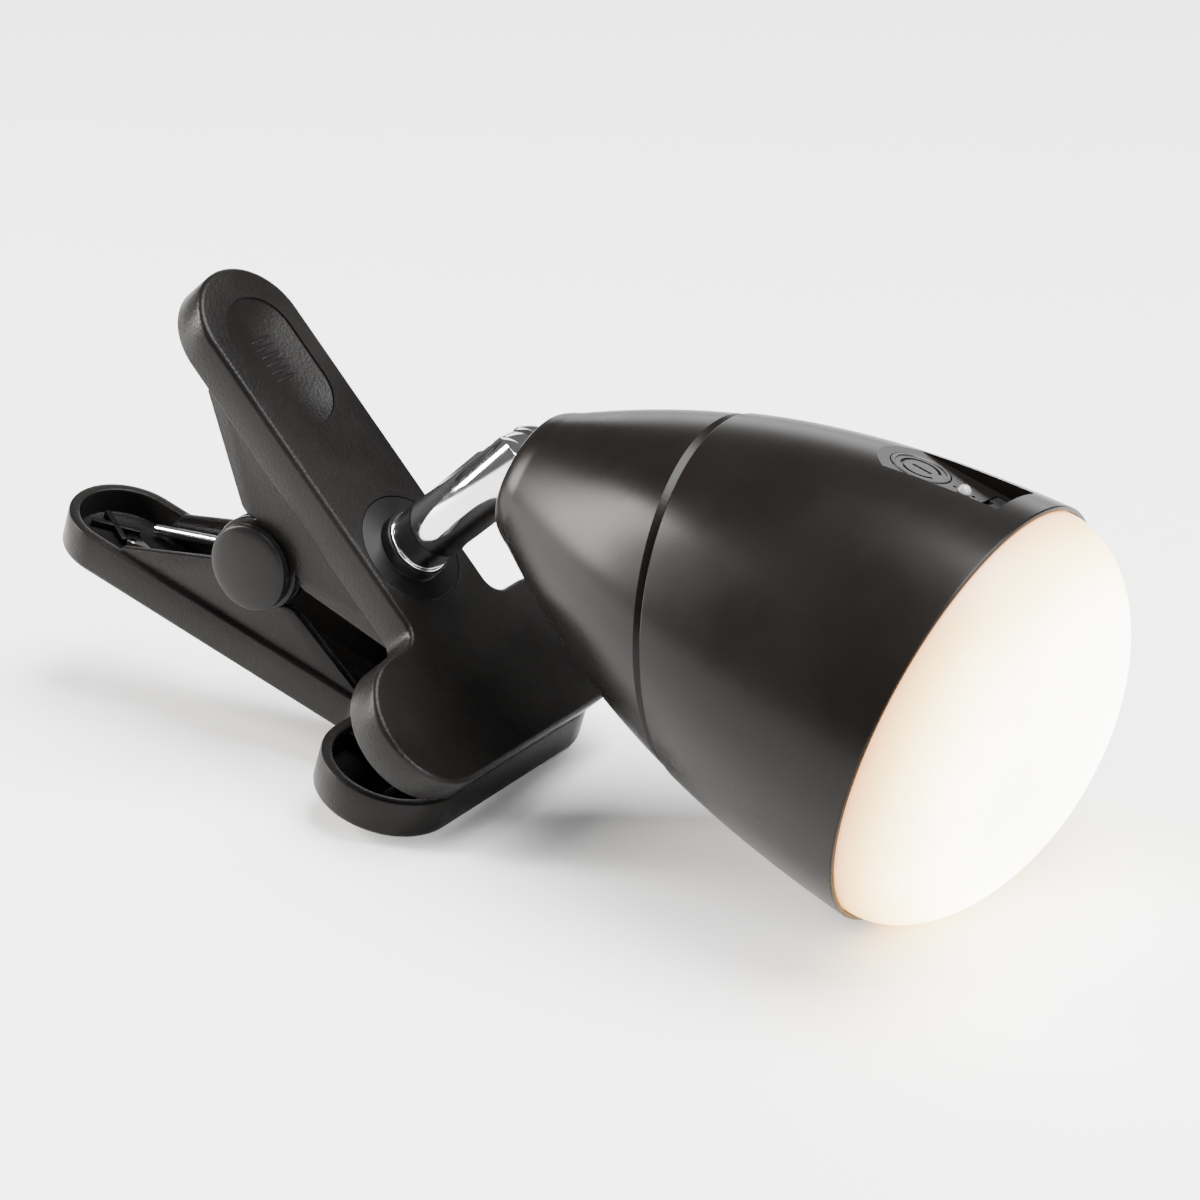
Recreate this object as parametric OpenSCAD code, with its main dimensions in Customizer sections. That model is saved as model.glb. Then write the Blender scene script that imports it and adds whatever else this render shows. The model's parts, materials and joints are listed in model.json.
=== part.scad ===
// Clip-on reading lamp, millimetres.
// The lamp lies on a flat surface: on the front edge of its lower jaw and on the rim of its head.
// +X runs from the clip to the lamp head, +Y across the clip along its hinge, +Z up.

/* [Clip] */
// Length of each lever, from handle end to jaw edge
lever_len = 87; // [84:1:92]
// Width of the upper lever's handle
upper_w = 20.8; // [20.8:0.2:22]
// Width of the lower lever's handle
lower_w = 19.2; // [19:0.2:19.4]
// Height of the rim round each lever
rim_h = 6.4; // [5.8:0.2:7]
// Thickness of each lever's plate
plate_t = 2; // [1.8:0.1:2.2]
// Thickness of the rim round each lever
rim_t = 1.8; // [1.6:0.1:2]
// Width of the jaws
jaw_w = 56; // [52:0.5:60]
// Depth of the jaws, front to back
jaw_d = 22.5; // [21:0.5:24]
// Distance from the handle end to the hinge pin
pivot_x = 40; // [39.2:0.2:40.6]
// Distance from a lever's outer face to the hinge pin
pivot_drop = 19.2; // [18.8:0.2:19.6]

/* [Arm] */
// Distance from the handle end to the swivel
swivel_x = 52; // [51.6:0.2:52.6]
// Diameter of the arm tube
tube_d = 10; // [9.8:0.1:10]
// Height of the tilt joint above the lever
pin_z = 27; // [26:0.5:30]
// Swivel of the arm to one side, as it lies
arm_swivel_rest = 1; // [0:0.2:10]

/* [Lamp head] */
// Distance from the tilt joint to the nose of the head
nose_gap = 2.8; // [2.4:0.1:2.8]
// Wall thickness of the shells
wall = 2; // [1.8:0.1:2.2]
// Height of the diffuser's dome
dome_h = 19; // [16:1:22]
// Distance from the nose to the middle of the seam
seam_x = 36; // [34:0.5:37]
// Slant of the seam between the shells
seam_tilt = 19; // [16:1:20]
// Roll of the head about its own axis, as it lies
head_roll_rest = 11; // [0:1:30]

/* [Controls] */
// Distance from the nose to the power button
button_x = 57.4; // [57:0.2:57.6]
// Diameter of the power button
button_d = 9.2; // [9:0.1:9.4]
// Travel of the power button
button_travel = 0.4; // [0.3:0.1:0.4]

/* [Hidden] */
$fn = 72;
eps = 0.01;
far = 200;
seat_gap = 0.1;   // axial play between faces that turn on each other
slip = 0.05;      // radial play of a running fit

// Lever
edge_c = 0.8;
fillet_r = 3;
jaw_r = jaw_d / 2;
jaw_start = lever_len - jaw_d;
jaw_mid_x = lever_len - jaw_r;
jaw_off = jaw_w / 2 - jaw_r;
pin_r = 2.5;
boss_r = 7.6;
cheek_t = 1.5;
upper_cheek_y = upper_w / 2 - 0.3;
lower_cheek_y = upper_cheek_y - cheek_t - 0.2;
cap_r = 7;
cap_y = upper_cheek_y + 0.3;
cap_h = 2.5;
thumb_len = 23;
thumb_r = 6.7;
thumb_x = 17;
thumb_depth = 1.1;
jaw_gap_angle = 0.2;

// Closing spring
coil_r = 5;
wire_r = 0.9;
coil_turns = 6;
coil_pitch = 2 * wire_r - 0.06;
coil_y = 0.9;
leg_x = 12;
leg_z = -plate_t - wire_r - 0.4;
lower_leg_y = coil_y + (coil_turns - 1) * wire_r;
upper_leg_y = coil_y - (coil_turns + 1) * wire_r - 0.3;

// Arm
tube_r = tube_d / 2;
disc_r = 9;
collar_h = 1.9;
ring_h = 0.4;
stud_r = 3;
stud_end = -11;
seat_t = 2;
tongue_half = 2.2;
tongue_r = 4.6;
screw_r = 1.5;

// Lamp head, measured from the nose
head_len = 77.4;
rim_r = 33.7;
nose_r = 12.1;
nose_x = 3.9;
dish_r = 9.4;
dish_x = 4.2;
floor_x = 6.7;
nipple_r = 3;
step = 0.25;
groove = 0.8;
lens_r = 32.8;
lens_x = 75.9;
lens_t = 1.6;
carrier_x = 74.2;
carrier_t = 1.5;
led_board_t = 1.2;
led_lead_z = 20.1;
boss_ring_r = 28.3;
boss_angles = [60, 180, 300];

// Recessed panel on the front shell
panel_z = 30.2;
panel_half = 6.3;
panel_x0 = 44;
panel_x1 = 72.6;
pad_z = 27.3;
lamp_dot_x = 64.8;
lamp_dot_r = 1.05;
port_x0 = 68;
port_x1 = 72.6;
port_half = 4.8;
port_depth = 1.5;
port_mid = (port_x0 + port_x1) / 2;
socket_w = 2.9;
socket_half = 3.8;
board_z = 20.7;
board_t = 1.6;
board_x = 48;
board_len = 25.5;
board_w = 22;
board_posts = [[50.5, -8], [50.5, 8], [71, -8], [71, 8]];
pilot_r = 0.9;
cell_r = 9;
cell_x0 = 15.9;
cell_x1 = 65.9;
cradle_x = 14;
cradle_t = 1.6;
cradle_screw_y = 12.4;

// The levers close until the jaws meet, and the lamp then lies on its lower jaw and its head's rim.
half_angle = atan2(pivot_drop - rim_h, lever_len - pivot_x) - jaw_gap_angle;
clip_slope = 32.2;
upper_slope = clip_slope + half_angle;
lower_slope = clip_slope - half_angle;
jaw_reach = lever_len - pivot_x;
jaw_low = jaw_reach * sin(lower_slope) + pivot_drop * cos(lower_slope);
pin_up = (pin_z + pivot_drop) * cos(upper_slope) - (swivel_x - pivot_x) * sin(upper_slope);
reach = nose_gap + head_len;
head_pitch = asin((pin_up + jaw_low) / norm([reach, rim_r])) - atan2(rim_r, reach);
tilt_a = cos(upper_slope);
tilt_b = sin(upper_slope) * cos(arm_swivel_rest);
tilt_rest = acos(-sin(head_pitch) / norm([tilt_a, tilt_b])) - atan2(tilt_b, tilt_a);

// Direction of the head's axis, and the middle of the lamp as seen from above
head_l = sin(tilt_rest) * cos(arm_swivel_rest);
head_dx = cos(upper_slope) * head_l + sin(upper_slope) * cos(tilt_rest);
head_dy = sin(tilt_rest) * sin(arm_swivel_rest);
pin_fwd = (swivel_x - pivot_x) * cos(upper_slope) + (pin_z + pivot_drop) * sin(upper_slope);
low_x = -pivot_x * cos(lower_slope) - pivot_drop * sin(lower_slope);
high_x = pin_fwd + reach * head_dx + norm([dome_h * head_dx, lens_r * sqrt(1 - head_dx * head_dx)]);
mid_x = (low_x + high_x) / 2;
low_y = min(-jaw_w / 2, reach * head_dy - rim_r * sqrt(1 - head_dy * head_dy));
high_y = reach * head_dy + rim_r * sqrt(1 - head_dy * head_dy);
mid_y = (low_y + high_y) / 2;

// ---------- frames ----------

// Hinge pin at the origin, levers spread evenly about the XY plane
module clip_frame() {
    translate([-mid_x, -mid_y, jaw_low])
        rotate([0, clip_slope, 0])
            children();
}

// X from the handle end to the jaw, Z out of the lever's outer face
module upper_frame() {
    clip_frame()
        rotate([0, half_angle, 0])
            translate([-pivot_x, 0, pivot_drop])
                children();
}

module lower_frame() {
    clip_frame()
        rotate([0, -half_angle, 0])
            mirror([0, 0, 1])
                translate([-pivot_x, 0, pivot_drop])
                    children();
}

// Z up the arm tube, origin on the lever's outer face
module arm_frame() {
    upper_frame()
        translate([swivel_x, 0, 0])
            rotate([0, 0, arm_swivel_rest])
                children();
}

// X along the head's axis, Y along the tilt joint, origin at the tilt joint
module tilt_frame() {
    arm_frame()
        translate([0, 0, pin_z])
            rotate([0, tilt_rest - 90, 0])
                children();
}

// X forward from the nose, Z out of the control panel
module head_frame() {
    tilt_frame()
        translate([nose_gap, 0, 0])
            rotate([-head_roll_rest, 0, 0])
                children();
}

// ---------- helpers ----------

module along_x() {
    rotate([0, 90, 0])
        children();
}

module along_y() {
    rotate([-90, 0, 0])
        children();
}

module tube(r_out, r_in, h) {
    difference() {
        cylinder(r = r_out, h = h);
        translate([0, 0, -1])
            cylinder(r = r_in, h = h + 2);
    }
}

module rod(a, b, r) {
    d = b - a;
    translate(a)
        rotate([0, acos(d.z / norm(d)), atan2(d.y, d.x)])
            cylinder(r = r, h = norm(d), $fn = 24);
}

// Straight runs of wire, with a slightly fatter bead at each bend
module wire(points, r) {
    for (i = [1 : len(points) - 1])
        rod(points[i - 1], points[i], r);
    for (i = [1 : len(points) - 2])
        translate(points[i])
            sphere(r = 1.15 * r, $fn = 24);
}

module hex(across, h) {
    cylinder(r = across / sqrt(3), h = h, $fn = 6);
}

// ---------- clip ----------

module chamfered_disc(r) {
    cylinder(r = r, h = rim_h - edge_c);
    translate([0, 0, rim_h - edge_c])
        cylinder(r1 = r, r2 = r - edge_c, h = edge_c);
}

module chamfered_bar(length, half) {
    rotate([90, 0, 90])
        linear_extrude(length)
            polygon([
                [-half, 0], [half, 0], [half, rim_h - edge_c],
                [half - edge_c, rim_h], [-half + edge_c, rim_h], [-half, rim_h - edge_c]
            ]);
}

module shoulder(w) {
    translate([jaw_start, w / 2, 0])
        difference() {
            translate([-fillet_r, -edge_c, 0])
                cube([fillet_r + edge_c, fillet_r + edge_c, rim_h]);
            translate([-fillet_r, fillet_r, -1])
                cylinder(r = fillet_r, h = rim_h + 1);
            translate([-fillet_r, fillet_r, rim_h - edge_c])
                cylinder(r1 = fillet_r, r2 = fillet_r + edge_c + eps, h = edge_c + eps);
        }
}

// Outside of a lever, its outer face up
module lever_body(w) {
    translate([0, 0, -rim_h]) {
        translate([w / 2, 0, 0])
            chamfered_disc(w / 2);
        translate([w / 2, 0, 0])
            chamfered_bar(jaw_mid_x - w / 2, w / 2);
        for (s = [-1, 1])
            translate([jaw_mid_x, s * jaw_off, 0])
                chamfered_disc(jaw_r);
        translate([jaw_mid_x, -jaw_off, 0])
            rotate([0, 0, 90])
                chamfered_bar(2 * jaw_off, jaw_r);
        shoulder(w);
        mirror([0, 1, 0])
            shoulder(w);
    }
}

// Plan of the hollow under a lever's plate
module hollow_plan(w) {
    r = w / 2 - rim_t;
    translate([w / 2, 0])
        circle(r);
    translate([w / 2, -r])
        square([jaw_mid_x - w / 2, 2 * r]);
    for (s = [-1, 1])
        translate([jaw_mid_x, s * jaw_off])
            circle(jaw_r - rim_t);
    translate([jaw_mid_x - jaw_r + rim_t, -jaw_off])
        square([jaw_d - 2 * rim_t, 2 * jaw_off]);
}

module hollow(w) {
    translate([0, 0, -rim_h - 1])
        linear_extrude(rim_h - plate_t + 1)
            hollow_plan(w);
}

// Stiffening ribs inside a lever
module ribs(w) {
    rib = 1.2;
    deep = rim_h - 1.2;
    half = w / 2 - rim_t / 2;
    for (s = [-1, 1]) {
        translate([jaw_mid_x - jaw_r + 1, s * (jaw_off - 2) - rib / 2, -deep])
            cube([jaw_d - 2, rib, deep - 1]);
        translate([jaw_mid_x - jaw_r + 1, s * 8 - rib / 2, -deep])
            cube([jaw_d - 2, rib, deep - 1]);
    }
    translate([jaw_mid_x + 3, -jaw_off - 6, -deep])
        cube([rib, 2 * jaw_off + 12, deep - 1]);
    translate([62, -half, -deep])
        cube([rib, 2 * half, deep - 1]);
}

// Web between a lever's plate and its pivot boss, on both sides
module cheeks(y_out) {
    rear_edge = [[14.8, -rim_h - 0.5], [33, -15]];
    front_edge = [[47.5, -14.2], [64, -6.2]];
    for (s = [-1, 1])
        translate([0, s > 0 ? y_out : -y_out + cheek_t, 0])
            rotate([90, 0, 0])
                linear_extrude(cheek_t) {
                    polygon(concat([[12, -1]], rear_edge, [[pivot_x, -pivot_drop]], front_edge, [[65, -1]]));
                    translate([pivot_x, -pivot_drop])
                        circle(boss_r);
                }
}

module pivot_bore(r) {
    translate([pivot_x, -upper_w, -pivot_drop])
        along_y()
            cylinder(r = r, h = 2 * upper_w);
}

module thumb_dish() {
    dish_curve_r = (thumb_r * thumb_r + thumb_depth * thumb_depth) / (2 * thumb_depth);
    straight = thumb_len / 2 - thumb_r;
    intersection() {
        translate([thumb_x, 0, -thumb_depth - eps])
            linear_extrude(thumb_depth + 1) {
                for (s = [-1, 1])
                    translate([s * straight, 0])
                        circle(thumb_r);
                square([2 * straight, 2 * thumb_r], center = true);
            }
        translate([thumb_x - thumb_len, 0, dish_curve_r - thumb_depth])
            along_x()
                cylinder(r = dish_curve_r, h = 2 * thumb_len, $fn = 144);
    }
}

module thumb_ridges() {
    ridge_pitch = 1.4;
    for (i = [-2.5 : 2.5])
        translate([thumb_x - 1 + i * ridge_pitch, -2.6, -plate_t + 0.4])
            cube([0.6, 5.2, plate_t - thumb_depth]);
}

module upper_lever() {
    color([0.07, 0.07, 0.07])
        upper_frame() {
            difference() {
                union() {
                    difference() {
                        lever_body(upper_w);
                        hollow(upper_w);
                    }
                    ribs(upper_w);
                    cheeks(upper_cheek_y);
                    translate([swivel_x, 0, -plate_t - seat_t])
                        cylinder(r = upper_cheek_y - cheek_t + 0.2, h = seat_t + eps);
                }
                thumb_dish();
                pivot_bore(pin_r + slip);
                translate([swivel_x, 0, -plate_t])
                    cylinder(r = disc_r + seat_gap, h = far);
                translate([swivel_x, 0, -far / 2])
                    cylinder(r = stud_r + slip, h = far);
            }
            thumb_ridges();
        }
}

module lower_lever() {
    rib_centre = [7, 1];
    rib_len = 8;
    cut_outs = [[11.5, 1.8], [33, 0]];
    color([0.06, 0.06, 0.06])
        lower_frame()
            difference() {
                union() {
                    difference() {
                        lever_body(lower_w);
                        hollow(lower_w);
                    }
                    ribs(lower_w);
                    cheeks(lower_cheek_y);
                    for (a = [-30, 30])
                        translate([rib_centre.x, rib_centre.y, -plate_t])
                            rotate([0, 0, a])
                                translate([-rib_len / 2, -0.5, -1.2])
                                    cube([rib_len, 1, 2]);
                }
                pivot_bore(pin_r + eps);
                for (c = cut_outs)
                    translate([c.x, c.y, -plate_t - 1])
                        linear_extrude(plate_t + 2)
                            polygon([[-2.4, -1.8], [2.4, 0], [-2.4, 1.8]]);
            }
}

module pivot_pin() {
    length = 2 * (cap_y + 1.4);
    color([0.75, 0.75, 0.76])
        clip_frame()
            translate([0, -length / 2, 0])
                along_y()
                    cylinder(r = pin_r, h = length);
}

module pivot_cap() {
    crown = 1.1;
    crown_r = (cap_r * cap_r + crown * crown) / (2 * crown);
    color([0.08, 0.08, 0.08])
        difference() {
            intersection() {
                cylinder(r = cap_r, h = cap_h);
                translate([0, 0, cap_h - crown_r])
                    sphere(r = crown_r, $fn = 120);
            }
            translate([0, 0, -1])
                cylinder(r = pin_r + eps, h = 1 + 1.4 + eps);
        }
}

module pivot_cap_near() {
    clip_frame()
        translate([0, -cap_y, 0])
            rotate([90, 0, 0])
                pivot_cap();
}

module pivot_cap_far() {
    clip_frame()
        translate([0, cap_y, 0])
            along_y()
                pivot_cap();
}

// One spring leg, from its free end on the plate to where it meets the coil
module spring_leg(y) {
    to_pivot = [pivot_x - leg_x, -pivot_drop - leg_z];
    dist = norm(to_pivot);
    down = -atan2(to_pivot.y, to_pivot.x) - asin(coil_r / dist);
    run = sqrt(dist * dist - coil_r * coil_r);
    start = [leg_x, y, leg_z];
    end = start + run * [cos(down), 0, -sin(down)];
    rod(start, end, wire_r);
}

module spring_coil() {
    color([0.8, 0.8, 0.82]) {
        clip_frame()
            for (i = [0 : coil_turns - 1])
                translate([0, coil_y + (i - (coil_turns - 1) / 2) * coil_pitch, 0])
                    along_y()
                        rotate_extrude()
                            translate([coil_r, 0])
                                circle(wire_r, $fn = 24);
        lower_frame()
            spring_leg(lower_leg_y);
    }
}

module spring_upper_leg() {
    color([0.8, 0.8, 0.82])
        upper_frame()
            spring_leg(upper_leg_y);
}

// ---------- arm ----------

module swivel_disc() {
    color([0.08, 0.08, 0.08])
        arm_frame()
            difference() {
                union() {
                    translate([0, 0, -plate_t + seat_gap])
                        cylinder(r = disc_r, h = plate_t - seat_gap);
                    cylinder(r = tube_r + 0.6, h = collar_h);
                }
                translate([0, 0, -plate_t])
                    cylinder(r = stud_r + eps, h = plate_t + collar_h + 1);
            }
}

module trim_ring() {
    color([0.85, 0.85, 0.87])
        arm_frame()
            translate([0, 0, collar_h])
                tube(tube_r + 0.2, stud_r + eps, ring_h);
}

module arm_tube() {
    foot_z = collar_h + ring_h;
    color([0.8, 0.82, 0.85])
        arm_frame()
            difference() {
                union() {
                    translate([0, 0, foot_z])
                        cylinder(r = tube_r, h = pin_z - foot_z);
                    intersection() {
                        translate([0, 0, pin_z - 1])
                            cylinder(r = tube_r, h = tube_r + 1);
                        translate([0, -tube_d, pin_z])
                            along_y()
                                cylinder(r = tube_r, h = 2 * tube_d);
                    }
                }
                translate([0, 0, foot_z - 1])
                    cylinder(r = 4, h = pin_z - foot_z - 7);
                translate([-tube_d, -tongue_half - seat_gap, pin_z - 5])
                    cube([2 * tube_d, 2 * (tongue_half + seat_gap), far]);
                translate([-tube_d, tube_r - 0.4, pin_z - 4.6])
                    cube([2 * tube_d, tube_d, far]);
                translate([0, -3.6, pin_z])
                    along_y()
                        cylinder(r = screw_r + eps, h = far);
            }
}

module arm_stud() {
    foot_z = collar_h + ring_h;
    color([0.75, 0.75, 0.76])
        arm_frame() {
            translate([0, 0, foot_z])
                cylinder(r = 4 - eps, h = 8);
            translate([0, 0, stud_end])
                cylinder(r = stud_r, h = foot_z - stud_end + eps);
        }
}

module swivel_washer() {
    color([0.75, 0.75, 0.76])
        arm_frame()
            translate([0, 0, -plate_t - seat_t - seat_gap - 0.8])
                tube(6.4, stud_r + eps, 0.8);
}

module swivel_nut() {
    color([0.75, 0.75, 0.76])
        arm_frame()
            translate([0, 0, -plate_t - seat_t - seat_gap - 0.8 - 5])
                difference() {
                    hex(10, 5);
                    translate([0, 0, -1])
                        cylinder(r = stud_r + eps, h = 7);
                }
}

module tilt_washer() {
    color([0.8, 0.8, 0.82])
        tilt_frame()
            translate([0, tube_r - 0.4, 0])
                along_y()
                    tube(3.4, screw_r + eps, 0.5);
}

module tilt_screw() {
    head_r = 3.1;
    head_h = 2.9;
    teeth = 20;
    color([0.82, 0.82, 0.84])
        tilt_frame() {
            translate([0, -3.6, 0])
                along_y()
                    cylinder(r = screw_r, h = 3.6 + tube_r + 0.1 + eps);
            translate([0, tube_r + 0.1, 0])
                along_y()
                    difference() {
                        cylinder(r = head_r, h = head_h);
                        for (i = [0 : teeth - 1])
                            rotate([0, 0, i * 360 / teeth])
                                translate([head_r, 0, -1])
                                    rotate([0, 0, 45])
                                        cube([0.4, 0.4, far], center = true);
                    }
        }
}

module head_knuckle() {
    color([0.8, 0.82, 0.85])
        tilt_frame()
            difference() {
                union() {
                    translate([0, -tongue_half, 0])
                        along_y()
                            cylinder(r = tongue_r, h = 2 * tongue_half);
                    translate([0, -tongue_half, -3.8])
                        cube([nose_gap + dish_x - seat_gap, 2 * tongue_half, 7.6]);
                    translate([nose_gap + dish_x - seat_gap - 0.6, 0, 0])
                        along_x()
                            cylinder(r = 5.2, h = 0.6);
                    translate([nose_gap + dish_x - 1, 0, 0])
                        along_x()
                            cylinder(r = nipple_r, h = 8.4);
                }
                translate([0, -tube_d, 0])
                    along_y()
                        cylinder(r = screw_r + slip, h = 2 * tube_d);
            }
}

module nipple_washer() {
    color([0.75, 0.75, 0.76])
        tilt_frame()
            translate([nose_gap + floor_x + seat_gap, 0, 0])
                along_x()
                    tube(5.6, nipple_r + eps, 0.7);
}

module nipple_nut() {
    color([0.75, 0.75, 0.76])
        tilt_frame()
            translate([nose_gap + floor_x + seat_gap + 0.7, 0, 0])
                along_x()
                    difference() {
                        hex(9, 3.8);
                        translate([0, 0, -1])
                            cylinder(r = nipple_r + eps, h = 6);
                    }
}

// ---------- lamp head ----------

function bezier(p, t) =
    pow(1 - t, 3) * p[0] + 3 * t * pow(1 - t, 2) * p[1] + 3 * t * t * (1 - t) * p[2] + pow(t, 3) * p[3];

// Outline of the shells as [radius, distance from the nose]
nose_curve = [[dish_r + 0.2, 0.4], [10.6, 0.5], [11.5, 2.7], [nose_r, nose_x]];
side_curve = [[nose_r, nose_x], [25.5, 26.2], [31.3, 46.9], [rim_r, head_len]];
outline = [
    for (i = [0 : 4]) bezier(nose_curve, i / 5),
    for (i = [0 : 22]) bezier(side_curve, i / 22)
];

// Solid of the outline, made smaller all round by a shift of its radius
module spun(shift) {
    shifted = [for (p = outline) [p[0] - shift, p[1]]];
    along_x()
        rotate_extrude($fn = 128)
            polygon(concat([[0, outline[0][1]]], shifted, [[0, head_len]]));
}

module ahead_of_seam(offset) {
    translate([seam_x, 0, 0])
        rotate([0, -seam_tilt, 0])
            translate([offset, -far / 2, -far / 2])
                cube([far, far, far]);
}

module behind_seam(offset) {
    translate([seam_x, 0, 0])
        rotate([0, -seam_tilt, 0])
            translate([offset - far, -far / 2, -far / 2])
                cube([far, far, far]);
}

module rear_shell() {
    lip_back = 2.5;
    lip_out = 3;
    lip_t = 1.2;
    color([0.06, 0.055, 0.05])
        head_frame()
            difference() {
                union() {
                    intersection() {
                        difference() {
                            spun(step);
                            intersection() {
                                spun(wall);
                                translate([floor_x, -far / 2, -far / 2])
                                    cube([far, far, far]);
                            }
                        }
                        behind_seam(-groove / 2);
                    }
                    intersection() {
                        difference() {
                            union() {
                                intersection() {
                                    spun(wall - 0.3);
                                    behind_seam(-groove);
                                }
                                spun(wall + 0.1);
                            }
                            spun(wall + lip_t);
                        }
                        ahead_of_seam(-lip_back);
                        behind_seam(lip_out);
                    }
                    for (s = [-1, 1])
                        intersection() {
                            translate([floor_x - 1, s * cradle_screw_y, 0])
                                along_x()
                                    cylinder(r = 2.4, h = cradle_x - floor_x + 1);
                            spun(wall / 2);
                        }
                }
                translate([-1, 0, 0])
                    along_x()
                        cylinder(r1 = dish_r + 0.2, r2 = dish_r - 1, h = dish_x + 1);
                translate([dish_x - 1, 0, 0])
                    along_x()
                        cylinder(r = nipple_r + slip, h = floor_x);
                for (s = [-1, 1])
                    translate([8, s * cradle_screw_y, 0])
                        along_x()
                            cylinder(r = pilot_r, h = 10);
            }
}

module panel_plan(extra) {
    translate([panel_x0 + panel_half, 0])
        circle(panel_half + extra);
    translate([panel_x0 + panel_half, -panel_half - extra])
        square([panel_x1 - panel_x0 - panel_half + extra, 2 * (panel_half + extra)]);
}

module front_shell() {
    color([0.05, 0.045, 0.04])
        head_frame()
            difference() {
                union() {
                    intersection() {
                        difference() {
                            spun(0);
                            spun(wall);
                        }
                        ahead_of_seam(groove / 2);
                    }
                    intersection() {
                        spun(wall / 2);
                        translate([0, 0, pad_z])
                            linear_extrude(far)
                                panel_plan(2.6);
                        cube([2 * (carrier_x - seat_gap), far, far], center = true);
                    }
                    for (p = board_posts)
                        translate([p.x, p.y, board_z + board_t])
                            cylinder(r = 2, h = pad_z - board_z - board_t + 0.5);
                    for (a = boss_angles)
                        intersection() {
                            rotate([-a, 0, 0])
                                translate([carrier_x - 9, 0, boss_ring_r])
                                    along_x()
                                        cylinder(r = 2.6, h = 9);
                            spun(wall / 2);
                        }
                }
                translate([0, 0, panel_z])
                    linear_extrude(far)
                        panel_plan(0);
                translate([button_x, 0, 0])
                    cylinder(r = button_d / 2 + 0.15, h = far);
                translate([lamp_dot_x, 0, 0])
                    cylinder(r = lamp_dot_r + slip, h = far);
                translate([port_x0, -port_half, panel_z - port_depth])
                    cube([port_x1 - port_x0, 2 * port_half, far]);
                translate([port_mid - socket_w / 2 - 0.15, -socket_half - 0.2, 0])
                    cube([socket_w + 0.3, 2 * socket_half + 0.4, far]);
                translate([lens_x - seat_gap, 0, 0])
                    along_x()
                        cylinder(r = lens_r + 0.2, h = far, $fn = 128);
                for (p = board_posts)
                    translate([p.x, p.y, board_z])
                        cylinder(r = pilot_r, h = 5);
                for (a = boss_angles)
                    rotate([-a, 0, 0])
                        translate([carrier_x - 7, 0, boss_ring_r])
                            along_x()
                                cylinder(r = 1, h = 10);
            }
}

module power_button() {
    color([0.1, 0.1, 0.1])
        head_frame()
            translate([button_x, 0, 0])
                difference() {
                    union() {
                        translate([0, 0, pad_z - 1])
                            cylinder(r = button_d / 2, h = panel_z - pad_z + 1.1);
                        translate([0, 0, pad_z - 1])
                            cylinder(r = button_d / 2 + 0.9, h = 0.7);
                    }
                    for (r = [1.5, 3.1])
                        translate([0, 0, panel_z - 0.15])
                            tube(r + 0.5, r, 1);
                }
}

module indicator_lens() {
    color([0.7, 0.75, 0.7])
        head_frame()
            translate([lamp_dot_x, 0, board_z + board_t])
                rotate_extrude($fn = 48)
                    intersection() {
                        union() {
                            square([lamp_dot_r, panel_z - board_z - board_t]);
                            translate([0, panel_z - board_z - board_t])
                                circle(lamp_dot_r);
                        }
                        square([far, far]);
                    }
}

// Rubber flap over the charging socket, hinged along its front edge
module port_flap() {
    gap = 0.3;
    flap_t = 1;
    hinge_r = flap_t / 2;
    color([0.12, 0.12, 0.12])
        head_frame()
            difference() {
                union() {
                    translate([port_x0 + gap, -port_half + gap, panel_z - flap_t])
                        cube([port_x1 - port_x0 - 2 * gap - hinge_r, 2 * (port_half - gap), flap_t]);
                    translate([port_x1 - gap - hinge_r, -port_half + gap, panel_z - hinge_r])
                        along_y()
                            cylinder(r = hinge_r, h = 2 * (port_half - gap));
                }
                translate([port_x0 + gap - 0.4, -1.6, panel_z - 0.5])
                    cube([1.2, 3.2, 2]);
            }
}

module charge_socket() {
    skin = 0.35;
    color([0.75, 0.75, 0.76])
        head_frame()
            difference() {
                translate([port_mid - socket_w / 2, -socket_half, board_z + board_t])
                    cube([socket_w, 2 * socket_half, panel_z - port_depth - board_z - board_t - 0.3]);
                translate([port_mid - socket_w / 2 + skin, -socket_half + skin, board_z + board_t + 1])
                    cube([socket_w - 2 * skin, 2 * (socket_half - skin), far]);
            }
}

module control_board() {
    color([0.1, 0.35, 0.18])
        head_frame()
            difference() {
                translate([board_x, -board_w / 2, board_z])
                    cube([board_len, board_w, board_t]);
                for (p = board_posts)
                    translate([p.x, p.y, 0])
                        cylinder(r = 1.1, h = far);
            }
}

module push_switch() {
    color([0.2, 0.2, 0.2])
        head_frame()
            translate([button_x, 0, board_z + board_t]) {
                translate([-3, -3, 0])
                    cube([6, 6, 2.6]);
                cylinder(r = 1.7, h = pad_z - 1 - button_travel - 0.05 - board_z - board_t);
            }
}

module screw(head_r, head_h, r, length) {
    translate([0, 0, -head_h])
        difference() {
            cylinder(r = head_r, h = head_h);
            for (a = [0, 90])
                rotate([0, 0, a])
                    cube([head_r, 0.6, 1], center = true);
        }
    translate([0, 0, -eps])
        cylinder(r = r, h = length);
}

module board_screws() {
    color([0.75, 0.75, 0.76])
        head_frame()
            for (p = board_posts)
                translate([p.x, p.y, board_z])
                    screw(1.9, 1.3, pilot_r - 0.02, 4.6);
}

module battery_cell() {
    color([0.15, 0.45, 0.35])
        head_frame() {
            translate([cell_x0, 0, 0])
                along_x()
                    cylinder(r = cell_r, h = cell_x1 - cell_x0 - 1);
            translate([cell_x1 - 1 - eps, 0, 0])
                along_x()
                    cylinder(r = 3, h = 1);
        }
}

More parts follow.
